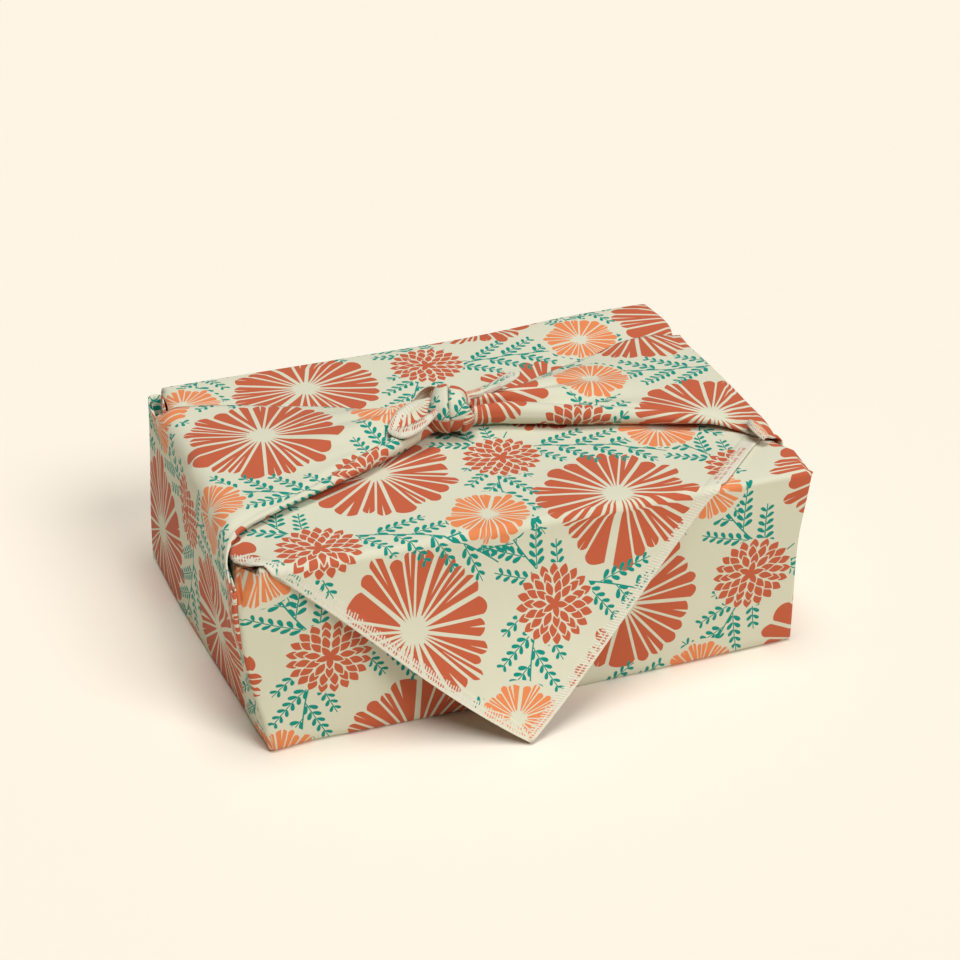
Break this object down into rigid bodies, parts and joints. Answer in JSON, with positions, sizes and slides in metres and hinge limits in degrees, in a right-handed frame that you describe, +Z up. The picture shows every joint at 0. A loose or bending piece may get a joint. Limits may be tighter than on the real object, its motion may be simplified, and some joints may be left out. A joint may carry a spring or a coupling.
{
  "type": "furoshiki cloth tied round a carton",
  "caption": "Square printed cotton cloth folded round a closed carton, with a corner hanging down the front and its side corners tied in a knot on top.",
  "frame": {"origin": "on the floor under the middle of the wrapped carton", "axes": "+Z up, +X along the parcel's length towards its right end, -Y towards the hanging corner"},
  "size_m": [0.2838, 0.231, 0.124],
  "materials": {
    "printed_cotton": "matt plain weave, printed",
    "carton_board": "matt brown board"
  },
  "bodies": {
    "root": {"furoshiki_cloth": "printed_cotton", "carton": "carton_board"}
  },
  "joints": []
}
